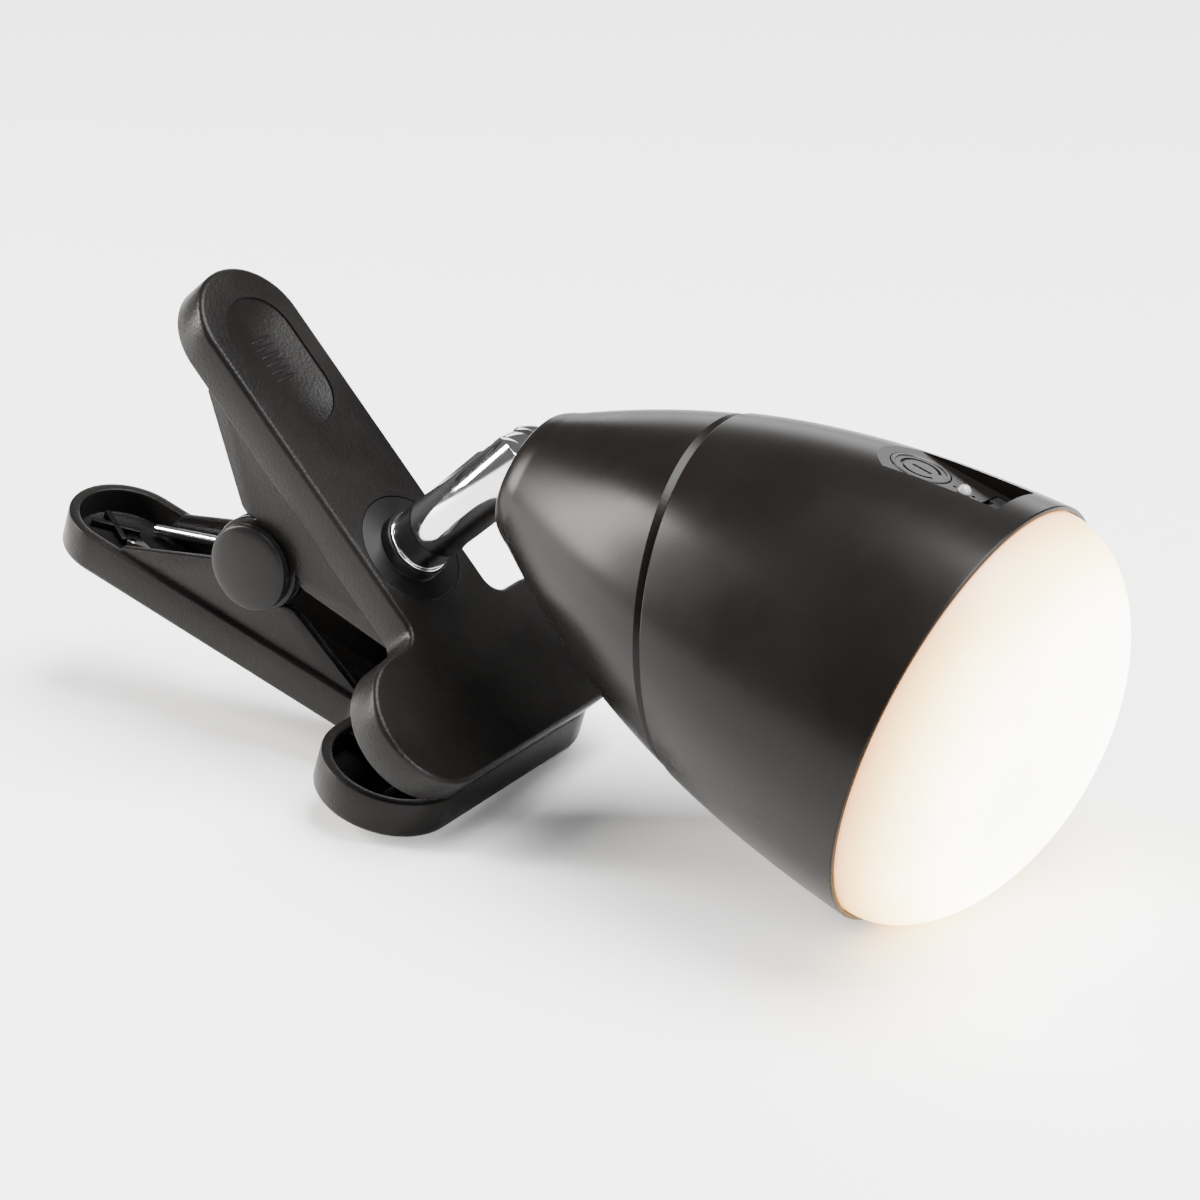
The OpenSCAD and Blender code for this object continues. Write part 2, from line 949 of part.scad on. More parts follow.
module cell_cradle() {
    color([0.85, 0.85, 0.83])
        head_frame()
            difference() {
                union() {
                    intersection() {
                        translate([cradle_x, 0, 0])
                            along_x()
                                cylinder(r = cell_r + cradle_t, h = cell_x1 + 1.1 + cradle_t - cradle_x);
                        translate([0, -far / 2, -far])
                            cube([far, far, far + 1]);
                    }
                    translate([cradle_x, -cradle_screw_y - 2.6, -3.2])
                        cube([cradle_t, 2 * (cradle_screw_y + 2.6), 6.4]);
                }
                translate([cell_x0 - 0.1, 0, 0])
                    along_x()
                        cylinder(r = cell_r + 0.15, h = cell_x1 - cell_x0 + 0.4);
                for (s = [-1, 1])
                    translate([0, s * cradle_screw_y, 0])
                        along_x()
                            cylinder(r = 1.1, h = far);
            }
}

module cradle_screws() {
    color([0.75, 0.75, 0.76])
        head_frame()
            for (s = [-1, 1])
                translate([cradle_x + cradle_t, s * cradle_screw_y, 0])
                    rotate([0, -90, 0])
                        screw(1.7, 1.3, pilot_r - 0.02, 6);
}

module cell_leads() {
    lead_r = 0.6;
    color([0.75, 0.1, 0.1])
        head_frame() {
            wire([
                [cell_x1 - 1 + lead_r, -6, 2.5], [70, -6, 2.5], [70, -6, 18], [66, -9.6, 18], [66, -9.6, board_z]
            ], lead_r);
            wire([
                [cell_x0 - lead_r, -4, 4], [cell_x0 - lead_r, -4, 12], [48, -5.5, 16], [52.5, -5, 17], [52.5, -5, board_z]
            ], lead_r);
        }
}

module led_carrier() {
    color([0.8, 0.8, 0.82])
        head_frame()
            difference() {
                translate([carrier_x, 0, 0])
                    along_x()
                        cylinder(r = 31, h = carrier_t, $fn = 128);
                for (a = boss_angles)
                    rotate([-a, 0, 0])
                        translate([0, 0, boss_ring_r])
                            along_x()
                                cylinder(r = 1.2, h = far);
                translate([0, 0, led_lead_z])
                    along_x()
                        cylinder(r = 2.4, h = far);
            }
}

module carrier_screws() {
    color([0.75, 0.75, 0.76])
        head_frame()
            for (a = boss_angles)
                rotate([-a, 0, 0])
                    translate([carrier_x + carrier_t, 0, boss_ring_r])
                        rotate([0, -90, 0])
                            screw(2, 1.4, 0.98, 7);
}

module led_board() {
    color([0.95, 0.95, 0.95])
        head_frame()
            translate([carrier_x + carrier_t, 0, 0])
                along_x()
                    cylinder(r = 24.5, h = led_board_t, $fn = 128);
}

module led_chips() {
    chip = 3;
    color([0.95, 0.85, 0.4])
        head_frame()
            for (ring = [[8, 4], [18, 9]])
                for (i = [0 : ring[1] - 1])
                    rotate([i * 360 / ring[1] + 22, 0, 0])
                        translate([carrier_x + carrier_t + led_board_t, -chip / 2, ring[0] - chip / 2])
                            cube([0.6, chip, chip]);
}

module led_leads() {
    color([0.85, 0.85, 0.2])
        head_frame()
            for (s = [-1, 1])
                rod([70, s * 1.1, led_lead_z], [carrier_x + carrier_t, s * 1.1, led_lead_z], 0.6);
}

module reflector() {
    back_x = carrier_x + carrier_t + 0.1;
    front_x = back_x + 2.7;
    color([0.97, 0.97, 0.97])
        head_frame()
            along_x()
                rotate_extrude($fn = 128)
                    polygon([
                        [24.6, back_x], [25.4, back_x], [26, back_x + 1.5], [30.6, back_x + 1.5],
                        [30.8, front_x], [30.2, front_x], [29.8, back_x + 2.2], [25.4, back_x + 2.2]
                    ]);
}

// Opal dome, an ellipse in section
module diffuser() {
    steps = 18;
    quarter = [for (i = [0 : steps]) i * 90 / steps];
    outside = [for (a = quarter) [lens_r * cos(a), head_len + dome_h * sin(a)]];
    inside = [
        for (i = [0 : steps])
            [(lens_r - lens_t) * sin(quarter[i]), head_len + (dome_h - lens_t) * cos(quarter[i])]
    ];
    color([1, 0.97, 0.9])
        head_frame()
            along_x()
                rotate_extrude($fn = 128)
                    polygon(concat([[lens_r, lens_x]], outside, inside, [[lens_r - lens_t, lens_x]]));
}

lower_lever();
upper_lever();
pivot_pin();
pivot_cap_near();
pivot_cap_far();
spring_coil();
spring_upper_leg();
swivel_disc();
trim_ring();
arm_tube();
arm_stud();
swivel_washer();
swivel_nut();
tilt_screw();
tilt_washer();
head_knuckle();
nipple_washer();
nipple_nut();
rear_shell();
front_shell();
power_button();
indicator_lens();
port_flap();
charge_socket();
control_board();
push_switch();
board_screws();
battery_cell();
cell_cradle();
cradle_screws();
cell_leads();
led_carrier();
carrier_screws();
led_board();
led_chips();
led_leads();
reflector();
diffuser();
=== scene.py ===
"""Looks of the clip-on reading lamp: rounded levers, smooth shells, the lit dome and all finishes."""
import json
import math

import bmesh
import bpy
from mathutils import Matrix, Vector


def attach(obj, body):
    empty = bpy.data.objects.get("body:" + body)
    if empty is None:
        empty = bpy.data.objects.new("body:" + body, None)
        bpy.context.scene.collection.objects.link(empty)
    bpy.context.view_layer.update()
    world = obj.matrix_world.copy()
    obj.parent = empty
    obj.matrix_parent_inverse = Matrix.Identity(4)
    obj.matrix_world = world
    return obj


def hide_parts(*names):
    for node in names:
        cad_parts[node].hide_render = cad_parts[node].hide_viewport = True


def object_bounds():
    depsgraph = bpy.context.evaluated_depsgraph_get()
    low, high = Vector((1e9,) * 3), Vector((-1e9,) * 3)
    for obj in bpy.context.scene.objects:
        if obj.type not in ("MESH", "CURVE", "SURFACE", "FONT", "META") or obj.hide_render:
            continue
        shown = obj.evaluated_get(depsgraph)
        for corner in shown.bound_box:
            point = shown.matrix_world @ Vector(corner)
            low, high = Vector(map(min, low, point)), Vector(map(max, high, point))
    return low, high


MM = 0.001
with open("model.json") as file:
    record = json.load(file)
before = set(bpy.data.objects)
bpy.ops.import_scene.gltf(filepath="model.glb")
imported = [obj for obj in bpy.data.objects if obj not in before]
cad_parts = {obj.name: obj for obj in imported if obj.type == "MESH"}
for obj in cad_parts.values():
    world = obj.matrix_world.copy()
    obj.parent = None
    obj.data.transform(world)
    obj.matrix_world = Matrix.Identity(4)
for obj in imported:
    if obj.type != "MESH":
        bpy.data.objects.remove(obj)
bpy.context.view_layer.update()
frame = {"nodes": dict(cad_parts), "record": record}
record = frame["record"]
nodes = frame["nodes"]

# Camera
CAMERA_AZIMUTH = 33.86
CAMERA_ELEVATION = 23.66
CAMERA_ROLL = -0.37
CAMERA_DISTANCE = 0.802
CAMERA_LENS = 159.0
CAMERA_AIM = Vector((0.0036, 0.0071, 0.0317))

# Light
WORLD_STRENGTH = 0.22
WHITE = (1, 1, 1)
WARM_WHITE = (1.0, 0.96, 0.92)

# Lever, millimetres, as in the CAD source
LEVER_LEN = 87.0
UPPER_W = 20.8
LOWER_W = 19.2
RIM_H = 6.4
PLATE_T = 2.0
RIM_T = 1.8
JAW_W = 56.0
JAW_D = 22.5
PIVOT_X = 40.0
PIVOT_DROP = 19.2
SWIVEL_X = 52.0
SHOULDER_R = 3.0
UPPER_WEB_Y = 10.1
LOWER_WEB_Y = 8.4
WEB_T = 1.5
WEB_FILLET = 3.0
BOSS_R = 7.6
PIN_BORE_R = 2.55
DISC_HOLE_R = 9.1
STUD_HOLE_R = 3.05
SEAT_T = 2.0
SEAT_R = 8.8
SEAT_BEVEL = 0.2
EDGE_ROUND = 0.9
THUMB_X = 17.0
THUMB_LEN = 23.0
THUMB_R = 6.7
THUMB_DEPTH = 1.15

RIB_CENTRE = (7, 1)
RIB_LEN = 8
RIB_HALF_T = 0.5
RIB_LOW = -1.2
RIB_HIGH = 0.4
RIB_CROSS = 30
CUT_OUTS = [(11.5, 1.8), (33, 0)]
CUT_HALF_LEN = 2.4
CUT_HALF_W = 1.8

# Pivot caps
CAP_R = 7.0
CAP_FOOT_R = 6.4
CAP_BORE_R = 2.52
CAP_BORE_DEEP = 1.4
CAP_SIDE_H = 1.55
CAP_CROWN_H = 0.95
CAP_Y = UPPER_WEB_Y + 0.3

# Closing spring
COIL_R = 5.0
WIRE_R = 0.9
COIL_TURNS = 6
WIRE_TURNS = 5.2
COIL_Y = 0.9
LEG_X = 12.0
LEG_Z = -3.3

# Lamp head, measured from the nose
HEAD_LEN = 77.4
WALL = 2.0
DISH_R = 9.4
DISH_X = 4.2
FLOOR_X = 6.7
NOSE_CURVE = [(9.6, 0.4), (10.6, 0.5), (11.5, 2.7), (12.1, 3.9)]
SIDE_CURVE = [(12.1, 3.9), (25.5, 26.2), (31.3, 46.9), (33.7, 77.4)]
SEAM_X = 36.0
SEAM_TILT = math.radians(19)
SEAM_GROOVE = 0.8
SEAM_GAP = 0.3
SEAM_DEEP = 0.75
SHELL_STEP = 0.25
LENS_R = 32.8
LENS_X = 75.9
LENS_T = 1.6
DOME_H = 19.0
CARRIER_X = 74.2
PANEL_Z = 30.2
PANEL_HALF = 6.3
PANEL_X0 = 44.0
PANEL_X1 = 72.6
PAD_Z = 27.3
BUTTON_X = 57.4
BUTTON_R = 4.6
LAMP_X = 64.8
LAMP_R = 1.1
PORT_X0 = 68.0
PORT_HALF = 4.8
PORT_DEPTH = 1.5
SOCKET_W = 3.2
SOCKET_HALF = 4.0


# ---------- frames ----------

def joint(name):
    return next(j for j in record["behaviour"]["joints"] if j["name"] == name)


def mount(name):
    return next(m for m in record["mounts"] if m["name"] == name)


def frame_matrix(origin, x, y, z):
    """Millimetres in a local frame to metres in the row frame."""
    m = Matrix.Identity(4)
    for i, axis in enumerate((x, y, z)):
        m.col[i][:3] = axis * MM
    m.col[3][:3] = origin
    return m


ACROSS = Vector((0, 1, 0))


def upper_matrix():
    z = Vector(joint("arm_swivel")["axis"])
    x = ACROSS.cross(z)
    return frame_matrix(Vector(joint("arm_swivel")["pos_m"]) - x * SWIVEL_X * MM, x, ACROSS, z)


def lower_matrix():
    back = mount("lower_lever_back")
    z = Vector(back["axis"])
    x = z.cross(ACROSS)
    return frame_matrix(Vector(back["pos_m"]) - x * SWIVEL_X * MM, x, ACROSS, z)


def head_matrix():
    x = Vector(joint("head_roll")["axis"])
    z = -Vector(joint("button_press")["axis"])
    return frame_matrix(Vector(joint("head_roll")["pos_m"]), x, z.cross(x), z)


def clip_matrix():
    x = Vector((1, 0, 0))
    return frame_matrix(Vector(joint("clip_hinge")["pos_m"]), x, ACROSS, Vector((0, 0, 1)))


UPPER = upper_matrix()
LOWER = lower_matrix()
HEAD = head_matrix()
CLIP = clip_matrix()


# ---------- mesh helpers ----------

def finish_mesh(bm, name, matrix, body, replaced, material, angle=32):
    """Puts the bmesh into the row frame as a piece that rides on a body and stands for CAD nodes."""
    bmesh.ops.remove_doubles(bm, verts=bm.verts, dist=1e-4)
    bm.transform(matrix)
    bmesh.ops.recalc_face_normals(bm, faces=bm.faces)
    mesh = bpy.data.meshes.new(name)
    bm.to_mesh(mesh)
    bm.free()
    mesh.shade_smooth()
    mesh.set_sharp_from_angle(angle=math.radians(angle))
    obj = bpy.data.objects.new(name, mesh)
    bpy.context.scene.collection.objects.link(obj)
    mesh.materials.append(material)
    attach(obj, body)
    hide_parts(*replaced)
    return obj


def ring(bm, points):
    return [bm.verts.new(p) for p in points]


def bridge(bm, a, b):
    """Faces between two closed rings with the same number of points."""
    n = len(a)
    for i in range(n):
        bm.faces.new((a[i], a[(i + 1) % n], b[(i + 1) % n], b[i]))


def loop_edges(bm, verts):
    made = []
    for i, v in enumerate(verts):
        w = verts[(i + 1) % len(verts)]
        made.append(bm.edges.get((v, w)) or bm.edges.new((v, w)))
    return made


def fill_with_holes(bm, outer, holes):
    edges = loop_edges(bm, outer)
    for hole in holes:
        edges += loop_edges(bm, hole)
    bmesh.ops.triangle_fill(bm, use_beauty=True, edges=edges)


def arc(cx, cy, r, a0, a1, steps):
    """Points on a circle from angle a0 to a1, in degrees, both ends included."""
    return [
        (cx + r * math.cos(math.radians(a0 + (a1 - a0) * i / steps)),
         cy + r * math.sin(math.radians(a0 + (a1 - a0) * i / steps)))
        for i in range(steps + 1)
    ]


def revolve(bm, profile, axis="X", steps=128):
    """Turns [radius, height] points about an axis through the origin."""
    rings = []
    for r, h in profile:
        count = steps if r > 1e-6 else 1
        points = []
        for i in range(count):
            a = 2 * math.pi * i / count
            c, s = r * math.cos(a), r * math.sin(a)
            points.append({"X": (h, c, s), "Y": (s, h, c), "Z": (c, s, h)}[axis])
        rings.append(ring(bm, points))
    for a, b in zip(rings, rings[1:]):
        if len(a) == 1 or len(b) == 1:
            tip, rim = (a[0], b) if len(a) == 1 else (b[0], a)
            for i in range(len(rim)):
                bm.faces.new((tip, rim[i], rim[(i + 1) % len(rim)]))
        else:
            bridge(bm, a, b)


def rounded(profile, radius):
    """Rounds the corners of an open profile of [radius, height] points."""
    steps = 4
    out = [profile[0]]
    for p, q, r in zip(profile, profile[1:], profile[2:]):
        a, b, c = Vector(p), Vector(q), Vector(r)
        cut = min(radius, (a - b).length * 0.45, (c - b).length * 0.45)
        start, end = b + (a - b).normalized() * cut, b + (c - b).normalized() * cut
        for i in range(steps + 1):
            t = i / steps
            out.append(tuple((1 - t) ** 2 * start + 2 * t * (1 - t) * b + t * t * end))
    out.append(profile[-1])
    return out


def box_mesh(bm, low, high):
    made = bmesh.ops.create_cube(bm, size=1)
    low, high = Vector(low), Vector(high)
    for v in made["verts"]:
        v.co = Vector(low[i] + (v.co[i] + 0.5) * (high[i] - low[i]) for i in range(3))
    return made["verts"]


def bevel_all(bm, verts, width, segments=2):
    edges = {e for v in verts for e in v.link_edges}
    bmesh.ops.bevel(bm, geom=list(edges), offset=width, segments=segments, profile=0.5, affect="EDGES")


def sweep(bm, points, radius, steps):
    """Round wire along a line of points."""
    points = [Vector(p) for p in points]
    up = None
    rings = []
    for i, p in enumerate(points):
        a = points[max(i - 1, 0)]
        b = points[min(i + 1, len(points) - 1)]
        t = (b - a).normalized()
        if up is None:
            up = t.orthogonal().normalized()
        up = (up - t * up.dot(t)).normalized()
        side = t.cross(up)
        rings.append(ring(bm, [
            p + radius * (math.cos(2 * math.pi * k / steps) * up + math.sin(2 * math.pi * k / steps) * side)
            for k in range(steps)
        ]))
    for a, b in zip(rings, rings[1:]):
        bridge(bm, a, b)
    bm.faces.new(rings[0])
    bm.faces.new(rings[-1])


# ---------- materials ----------

def new_material(name):
    mat = bpy.data.materials.new(name)
    mat.use_nodes = True
    tree = mat.node_tree
    return mat, tree, tree.nodes["Principled BSDF"]


def object_coords(tree, scale):
    coords = tree.nodes.new("ShaderNodeTexCoord")
    mapping = tree.nodes.new("ShaderNodeMapping")
    mapping.inputs["Scale"].default_value = scale
    tree.links.new(coords.outputs["Object"], mapping.inputs["Vector"])
    return mapping.outputs["Vector"]


def noise(tree, vector, scale, detail=4.0, rough=0.55):
    n = tree.nodes.new("ShaderNodeTexNoise")
    n.inputs["Scale"].default_value = scale
    n.inputs["Detail"].default_value = detail
    n.inputs["Roughness"].default_value = rough
    tree.links.new(vector, n.inputs["Vector"])
    return n.outputs["Fac"]


def spread(tree, value, low, high):
    r = tree.nodes.new("ShaderNodeMapRange")
    r.interpolation_type = "SMOOTHSTEP"
    r.inputs["From Min"].default_value = 0.3
    r.inputs["From Max"].default_value = 0.7
    r.inputs["To Min"].default_value = low
    r.inputs["To Max"].default_value = high
    tree.links.new(value, r.inputs["Value"])
    return r.outputs["Result"]


def blend(tree, value, a, b):
    m = tree.nodes.new("ShaderNodeMix")
    m.data_type = "RGBA"
    m.inputs["A"].default_value = (*a, 1)
    m.inputs["B"].default_value = (*b, 1)
    tree.links.new(value, m.inputs["Factor"])
    return m.outputs["Result"]


def bump(tree, shader, height, distance, strength=1.0):
    b = tree.nodes.new("ShaderNodeBump")
    b.inputs["Distance"].default_value = distance
    b.inputs["Strength"].default_value = strength
    tree.links.new(height, b.inputs["Height"])
    tree.links.new(b.outputs["Normal"], shader.inputs["Normal"])


def moulded(name, color, rough, grain_mm, depth_mm, specular=0.5, vary=0.25):
    """Moulded plastic: fine grain, patchy gloss and slightly uneven colour."""
    mat, tree, shader = new_material(name)
    vector = object_coords(tree, (1, 1, 1))
    fine = noise(tree, vector, 1 / (grain_mm * MM), 3, 0.6)
    patches = noise(tree, vector, 60, 3, 0.5)
    darker = tuple(c * (1 - vary) for c in color)
    lighter = tuple(c * (1 + vary) for c in color)
    tree.links.new(blend(tree, spread(tree, patches, 0, 1), darker, lighter), shader.inputs["Base Color"])
    tree.links.new(spread(tree, patches, rough * 0.9, rough * 1.1), shader.inputs["Roughness"])
    shader.inputs["Specular IOR Level"].default_value = specular
    bump(tree, shader, fine, depth_mm * MM)
    return mat


def metal(name, color, rough, stretch=(1, 1, 1), depth_mm=0.002, vary=0.06):
    """Plated or drawn metal with fine lines along one direction."""
    mat, tree, shader = new_material(name)
    vector = object_coords(tree, stretch)
    lines = noise(tree, vector, 900, 5, 0.6)
    patches = noise(tree, vector, 90, 3, 0.5)
    darker = tuple(c * (1 - vary) for c in color)
    tree.links.new(blend(tree, spread(tree, patches, 0, 1), darker, color), shader.inputs["Base Color"])
    tree.links.new(spread(tree, lines, rough * 0.7, rough * 1.3), shader.inputs["Roughness"])
    shader.inputs["Metallic"].default_value = 1.0
    bump(tree, shader, lines, depth_mm * MM)
    return mat


def clear_material(name):
    mat, tree, shader = new_material(name)
    vector = object_coords(tree, (1, 1, 1))
    cloud = noise(tree, vector, 700, 3, 0.5)
    tree.links.new(blend(tree, spread(tree, cloud, 0, 1), (0.3, 0.31, 0.3), (0.42, 0.43, 0.42)),
                   shader.inputs["Base Color"])
    tree.links.new(spread(tree, cloud, 0.12, 0.2), shader.inputs["Roughness"])
    shader.inputs["Transmission Weight"].default_value = 0.35
    return mat


def opal_material(name):
    """Lit opal plastic, warmer and dimmer where it meets the shell."""
    mat, tree, shader = new_material(name)
    height = tree.nodes.new("ShaderNodeAttribute")
    height.attribute_name = "from_rim"
    ramp = tree.nodes.new("ShaderNodeValToRGB")
    stops = ramp.color_ramp.elements
    stops[0].position, stops[0].color = 0.0, (1.0, 0.33, 0.01, 1)
    stops[1].position, stops[1].color = 0.75, (1.0, 0.97, 0.9, 1)
    warm = stops.new(0.14)
    warm.color = (1.0, 0.58, 0.06, 1)
    cream = stops.new(0.4)
    cream.color = (1.0, 0.82, 0.36, 1)
    tree.links.new(height.outputs["Fac"], ramp.inputs["Fac"])
    vector = object_coords(tree, (1, 1, 1))
    cloud = noise(tree, vector, 45, 2, 0.5)
    rise = tree.nodes.new("ShaderNodeMapRange")
    rise.inputs["From Max"].default_value = 0.65
    rise.inputs["To Min"].default_value = 2.2
    rise.inputs["To Max"].default_value = 9.0
    tree.links.new(height.outputs["Fac"], rise.inputs["Value"])
    glow = tree.nodes.new("ShaderNodeMath")
    glow.operation = "MULTIPLY"
    tree.links.new(rise.outputs["Result"], glow.inputs[0])
    tree.links.new(spread(tree, cloud, 0.94, 1.06), glow.inputs[1])
    tree.links.new(ramp.outputs["Color"], shader.inputs["Emission Color"])
    tree.links.new(glow.outputs["Value"], shader.inputs["Emission Strength"])
    tree.links.new(blend(tree, spread(tree, cloud, 0, 1), (0.32, 0.28, 0.22), (0.36, 0.32, 0.26)),
                   shader.inputs["Base Color"])
    shader.inputs["Roughness"].default_value = 0.35
    return mat


MATERIALS = {
    "lever_black": moulded("lever_black", (0.0055, 0.0051, 0.0048), 0.33, 0.5, 0.07, 0.1),
    "cap_black": moulded("cap_black", (0.005, 0.0047, 0.0046), 0.32, 0.2, 0.006, 0.1),
    "shell_black": moulded("shell_black", (0.0045, 0.0039, 0.0035), 0.29, 0.25, 0.0006, 0.11, vary=0.1),
    "button_black": moulded("button_black", (0.008, 0.0078, 0.0075), 0.36, 0.15, 0.004, 0.25),
    "switch_black": moulded("switch_black", (0.02, 0.02, 0.02), 0.5, 0.15, 0.006, 0.3),
    "flap_rubber": moulded("flap_rubber", (0.006, 0.006, 0.006), 0.5, 0.12, 0.01, 0.2),
    "chrome": metal("chrome", (0.62, 0.62, 0.63), 0.07, (1, 1, 1), 0.0004, 0.04),
    "steel": metal("steel", (0.58, 0.58, 0.59), 0.28, (1, 6, 1), 0.002),
    "spring_steel": metal("spring_steel", (0.72, 0.74, 0.78), 0.16, (4, 1, 4), 0.001),
    "aluminium": metal("aluminium", (0.75, 0.75, 0.76), 0.35, (1, 8, 1), 0.002),
    "cell_sleeve": moulded("cell_sleeve", (0.04, 0.26, 0.17), 0.3, 0.5, 0.01),
    "clear_lens": clear_material("clear_lens"),
    "circuit_green": moulded("circuit_green", (0.02, 0.16, 0.06), 0.3, 0.3, 0.008),
    "white_plastic": moulded("white_plastic", (0.8, 0.8, 0.78), 0.35, 0.3, 0.004, vary=0.04),
    "board_white": moulded("board_white", (0.82, 0.82, 0.8), 0.45, 0.3, 0.004, vary=0.04),
    "led_yellow": moulded("led_yellow", (0.85, 0.66, 0.12), 0.4, 0.2, 0.01, vary=0.1),
    "lead_red": moulded("lead_red", (0.45, 0.03, 0.02), 0.42, 0.3, 0.01),
    "lead_yellow": moulded("lead_yellow", (0.65, 0.5, 0.04), 0.42, 0.3, 0.01),
    "opal": opal_material("opal"),
}


def dress_cad_nodes():
    """Every CAD node gets its slot's finish, smooth shading and a fine rounded edge."""
    slots = {p["node"]: p["material_slot"] for p in record["subparts"]}
    for name, obj in nodes.items():
        obj.data.materials.clear()
        obj.data.materials.append(MATERIALS[slots[name]])
        obj.data.shade_smooth()
        obj.data.set_sharp_from_angle(angle=math.radians(28))
        weld = obj.modifiers.new("weld", "WELD")
        weld.merge_threshold = 1e-6
        size = min(obj.dimensions)
        edge = obj.modifiers.new("edge", "BEVEL")
        edge.width = min(0.00015, size * 0.05)
        edge.segments = 2
        edge.limit_method = "ANGLE"
        edge.angle_limit = math.radians(40)
        edge.use_clamp_overlap = True
        edge.harden_normals = False


# ---------- levers ----------

def lever_plan(w, inset):
    """Outline of a lever seen from above, moved inwards by inset."""
    jaw_r, jaw_start = JAW_D / 2, LEVER_LEN - JAW_D
    jaw_off = JAW_W / 2 - jaw_r
    side = arc(w / 2, 0, w / 2 - inset, 180, 270, 24)
    side += arc(jaw_start - SHOULDER_R, -w / 2 - SHOULDER_R, SHOULDER_R + inset, 90, 0, 10)
    side += arc(jaw_start + jaw_r, -jaw_off, jaw_r - inset, 180, 270, 24)
    side += arc(jaw_start + jaw_r, -jaw_off, jaw_r - inset, 270, 360, 24)[1:]
    far = [(x, -y) for x, y in reversed(side)]
    return side + far[:-1]


def stadium(cx, length, r, inset, steps=20):
    """Outline of a slot with round ends."""
    half = length / 2 - r
    return (arc(cx - half, 0, r - inset, 90, 270, steps) + arc(cx + half, 0, r - inset, -90, 90, steps))


def lift(points, z):
    """Flat outline points at a height."""
    return [(x, y, z) for x, y in points]


def round_steps(r, count=7):
    """Steps over a quarter round of radius r: distance in from the side, distance below the top."""
    return [(r * (1 - math.cos(math.pi / 2 * i / count)), r * (1 - math.sin(math.pi / 2 * i / count)))
            for i in range(count + 1)]


def thumb_bowl(bm):
    """Shallow bowl with a crisp edge, open at the top face; returns its top ring."""
    top = ring(bm, lift(stadium(THUMB_X, THUMB_LEN, THUMB_R, 0), 0))
    last = top
    lip = 0.35
    for inset in (0.06, 0.4, 0.9, 1.6, 2.4, 3.3, 4.3, 5.4, 6.4):
        deep = lip + (THUMB_DEPTH - lip) * math.sin(math.pi / 2 * inset / THUMB_R)
        new = ring(bm, lift(stadium(THUMB_X, THUMB_LEN, THUMB_R, inset), -deep))
        bridge(bm, last, new)
        last = new
    bm.faces.new(last)
    return top


def thumb_ridges(bm):
    """Six low ridges across the middle of the bowl."""
    count, pitch, middle = 6, 1.4, THUMB_X - 1
    half_wide, half_long, high = 0.32, 2.5, 0.32
    for i in range(count):
        made = bmesh.ops.create_uvsphere(bm, u_segments=20, v_segments=10, radius=1)
        for v in made["verts"]:
            x = middle + (i - (count - 1) / 2) * pitch + v.co.x * half_wide
            v.co = Vector((x, v.co.y * half_long, -THUMB_DEPTH + v.co.z * high))


def fillet_to_boss(p, d, c, f):
    """Concave arc of radius f from the straight edge p + t*d, run towards the boss, onto the boss's rim."""
    n = Vector((-d.y, d.x))
    if n.dot(c - p) > 0:
        n = -n
    base = p + n * f
    along = (c - base).dot(d)
    off = (c - base - d * along).length
    centre = base + d * (along - math.sqrt((BOSS_R + f) ** 2 - off * off))
    first, last = -n, (c - centre).normalized()
    count = 8
    mixes = [first.lerp(last, i / count).normalized() for i in range(count + 1)]
    return [centre + f * mix for mix in mixes]


def web_plan():
    """Outline of a web and its pivot boss, X along the lever and Z out of it."""
    c = Vector((PIVOT_X, -PIVOT_DROP))
    rear_a, rear_b = Vector((14.8, -RIM_H - 0.5)), Vector((32.2, -14.9))
    front_a, front_b = Vector((64, -6.2)), Vector((47.5, -14.2))
    rear = fillet_to_boss(rear_a, (rear_b - rear_a).normalized(), c, WEB_FILLET)
    front = fillet_to_boss(front_a, (front_b - front_a).normalized(), c, WEB_FILLET)
    start, end = (rear[-1] - c).normalized(), (front[-1] - c).normalized()
    a0 = math.atan2(start.y, start.x)
    a1 = math.atan2(end.y, end.x)
    while a0 > a1:
        a0 -= 2 * math.pi
    around = [Vector(p) for p in arc(c.x, c.y, BOSS_R, math.degrees(a0), math.degrees(a1), 40)[1:-1]]
    return ([Vector((12, -1)), Vector((12.4, -2.4)), rear_a] + rear + around + front[::-1]
            + [front_a, Vector((65, -1))])


def inward(points, d):
    """Moves a closed outline inwards by a small distance."""
    area = sum(a.x * b.y - b.x * a.y for a, b in zip(points, points[1:] + points[:1]))
    turn = 1 if area > 0 else -1
    out = []
    for i, p in enumerate(points):
        a, b = points[i - 1], points[(i + 1) % len(points)]
        t1, t2 = (p - a).normalized(), (b - p).normalized()
        n = Vector((-(t1 + t2).y, (t1 + t2).x)).normalized() * turn
        out.append(p + n * d)
    return out


def web(bm, y_out, side):
    """One web with its boss, edges softly rounded and the pin's bore through it."""
    outline = web_plan()
    soft = 0.3
    layers = [(soft, 0.0), (soft * 0.3, soft * 0.3), (0.0, soft), (0.0, WEB_T - soft),
              (soft * 0.3, WEB_T - soft * 0.3), (soft, WEB_T)]
    rings, bores = [], []
    for inset, depth in layers:
        y = side * (y_out - depth)
        rings.append(ring(bm, [(p.x, y, p.y) for p in inward(outline, inset)]))
    for depth in (0.0, WEB_T):
        y = side * (y_out - depth)
        bores.append(ring(bm, [(x, y, z) for x, z in arc(PIVOT_X, -PIVOT_DROP, PIN_BORE_R, 0, 352.5, 47)]))
    for a, b in zip(rings, rings[1:]):
        bridge(bm, a, b)
    bridge(bm, bores[0], bores[1])
    fill_with_holes(bm, rings[0], [bores[0]])
    fill_with_holes(bm, rings[-1], [bores[1]])


